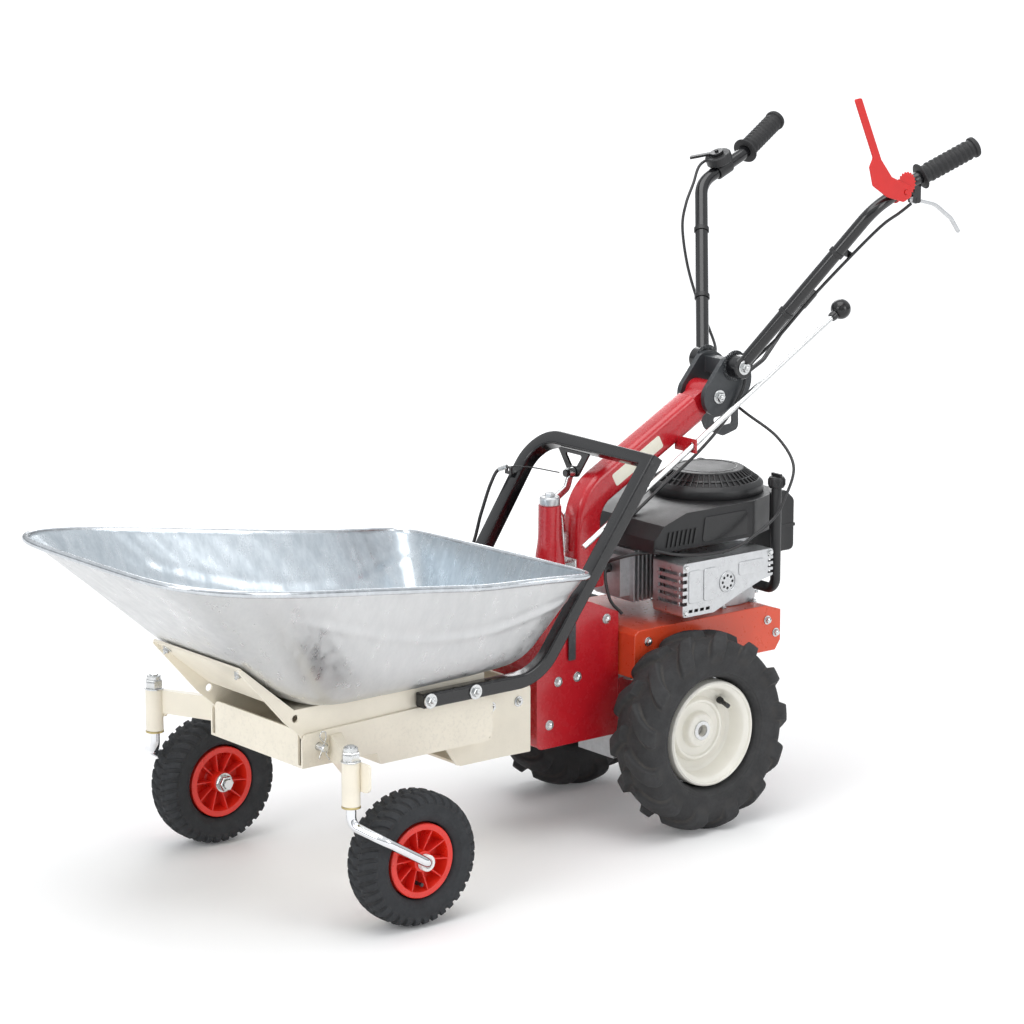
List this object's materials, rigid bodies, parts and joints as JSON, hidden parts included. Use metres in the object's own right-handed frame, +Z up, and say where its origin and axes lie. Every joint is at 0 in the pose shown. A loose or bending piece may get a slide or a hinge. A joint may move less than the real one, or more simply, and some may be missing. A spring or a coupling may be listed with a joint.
{
  "type": "power wheelbarrow",
  "caption": "Two-wheel walk-behind power unit with handlebars pushing a galvanised tipping barrow tub on a cream chassis carried by swivel casters",
  "frame": {"origin": "on the ground under the middle of the whole machine's box", "axes": "+Z up, the tub's nose towards -Y and the grips towards +Y, the machine's left side +X"},
  "size_m": [0.6856, 1.6844, 1.247],
  "materials": {
    "galvanised_sheet": "galvanised, bright vertical streaks and faint spangle",
    "cream_paint": "satin cream paint",
    "black_paint": "gloss black paint",
    "zinc_steel": "bright zinc plate",
    "chrome_steel": "polished",
    "caster_rubber": "matt black rubber",
    "drive_rubber": "matt black rubber, scuffed",
    "red_plastic": "moulded red nylon",
    "red_paint": "gloss red paint",
    "orange_paint": "gloss orange-red paint",
    "rim_paint": "off-white paint",
    "black_plastic": "fine-grained black plastic",
    "cast_alloy": "as cast",
    "grey_paint": "satin dark grey",
    "grip_rubber": "soft black rubber",
    "belt_rubber": "matt"
  },
  "bodies": {
    "chassis": {"chassis_frame": "cream_paint", "hitch_bracket": "cream_paint", "caster_beam_left": "cream_paint", "caster_beam_right": "cream_paint", "pivot_pin": "zinc_steel", "pivot_clip": "zinc_steel", "engine_deck": "orange_paint", "front_guard": "red_paint", "mast": "red_paint", "latch_striker": "zinc_steel", "steering_column": "red_paint", "gearbox_case": "cast_alloy", "drive_belt": "belt_rubber", "engine_block": "cast_alloy", "engine_cowl": "black_plastic", "starter_cover": "black_plastic", "fuel_tank": "black_plastic", "muffler": "cast_alloy", "muffler_guard": "cast_alloy", "oil_filler": "black_plastic"},
    "tub_assembly": {"tub": "galvanised_sheet", "tub_cradle": "cream_paint", "handle_loop": "black_paint", "loop_bolt_front": "zinc_steel", "loop_bolt_rear": "zinc_steel", "latch_bracket": "black_paint", "latch_cable": "black_plastic"},
    "latch": {"latch_hook": "zinc_steel"},
    "caster_left": {"caster_arm_left": "chrome_steel", "kingpin_nut_left": "zinc_steel", "caster_axle_nut_left": "zinc_steel"},
    "caster_right": {"caster_arm_right": "chrome_steel", "kingpin_nut_right": "zinc_steel", "caster_axle_nut_right": "zinc_steel"},
    "caster_wheel_left": {"caster_rim_left": "red_plastic", "caster_tyre_left": "caster_rubber"},
    "caster_wheel_right": {"caster_rim_right": "red_plastic", "caster_tyre_right": "caster_rubber"},
    "drive_wheels": {"drive_axle": "zinc_steel", "worm_wheel": "cast_alloy", "drive_rim_left": "rim_paint", "drive_rim_right": "rim_paint", "drive_tyre_left": "drive_rubber", "drive_tyre_right": "drive_rubber"},
    "worm": {"worm_shaft": "zinc_steel", "gearbox_pulley": "cast_alloy"},
    "crank": {"crankshaft": "zinc_steel", "flywheel": "cast_alloy"},
    "handlebars": {"column_clamp": "grey_paint", "handlebar_left": "black_paint", "handlebar_right": "black_paint", "grip_left": "grip_rubber", "grip_right": "grip_rubber", "lever_quadrant": "red_paint", "throttle_housing": "black_plastic"},
    "stop": {"stop_lever": "red_paint"},
    "clutch": {"clutch_lever": "cast_alloy"},
    "throttle": {"throttle_lever": "black_plastic"},
    "gear_shift": {"gear_rod": "zinc_steel"},
    "adjuster": {"adjust_lever": "black_paint"}
  },
  "joints": [
    {"name": "tub_tip", "type": "hinge", "parent": "chassis", "child": "tub_assembly", "pos_m": [0, -0.48974, 0.271], "axis": [1, 0, 0], "range_deg": [0, 60]},
    {"name": "latch_release", "type": "hinge", "parent": "tub_assembly", "child": "latch", "pos_m": [-0.036, 0.16326, 0.606], "axis": [0, 1, 0], "range_deg": [0, 25]},
    {"name": "caster_swivel_left", "type": "hinge", "parent": "chassis", "child": "caster_left", "pos_m": [0.2793, -0.53504, 0.25], "axis": [0, 0, 1], "continuous": true},
    {"name": "caster_swivel_right", "type": "hinge", "parent": "chassis", "child": "caster_right", "pos_m": [-0.2793, -0.53504, 0.25], "axis": [0, 0, 1], "continuous": true},
    {"name": "caster_roll_left", "type": "hinge", "parent": "caster_left", "child": "caster_wheel_left", "pos_m": [0.2815, -0.41914, 0.11], "axis": [1, 0, 0], "continuous": true},
    {"name": "caster_roll_right", "type": "hinge", "parent": "caster_right", "child": "caster_wheel_right", "pos_m": [-0.2815, -0.41914, 0.11], "axis": [1, 0, 0], "continuous": true},
    {"name": "drive_spin", "type": "hinge", "parent": "chassis", "child": "drive_wheels", "pos_m": [0, 0.28126, 0.1736], "axis": [1, 0, 0], "continuous": true},
    {"name": "worm_spin", "type": "hinge", "parent": "chassis", "child": "worm", "pos_m": [0, 0.22626, 0.2], "axis": [0, 0, 1], "continuous": true},
    {"name": "crank_spin", "type": "hinge", "parent": "chassis", "child": "crank", "pos_m": [0, 0.44626, 0.3], "axis": [0, 0, 1], "continuous": true},
    {"name": "handlebar_tilt", "type": "hinge", "parent": "chassis", "child": "handlebars", "pos_m": [0, 0.44126, 0.7165], "axis": [1, 0, 0], "range_deg": [0, 25]},
    {"name": "stop_lever_swing", "type": "hinge", "parent": "handlebars", "child": "stop", "pos_m": [0.242, 0.68126, 1.077], "axis": [1, 0, 0], "range_deg": [-55, 0]},
    {"name": "clutch_squeeze", "type": "hinge", "parent": "handlebars", "child": "clutch", "pos_m": [0.2235, 0.72126, 1.059], "axis": [1, 0, 0], "range_deg": [0, 18]},
    {"name": "throttle_turn", "type": "hinge", "parent": "handlebars", "child": "throttle", "pos_m": [-0.2235, 0.67326, 1.0722], "axis": [0, -0.4061, 0.9138], "range_deg": [0, 60]},
    {"name": "gear_slide", "type": "slide", "parent": "chassis", "child": "gear_shift", "axis": [0, 0.8608, 0.509], "range_m": [0, 0.05]},
    {"name": "adjust_lift", "type": "hinge", "parent": "handlebars", "child": "adjuster", "pos_m": [0.012, 0.50326, 0.735], "axis": [1, 0, 0], "range_deg": [0, 20]}
  ],
  "couplings": [
    {"joint": "worm_spin", "follows": "drive_spin", "ratio": 20}
  ]
}
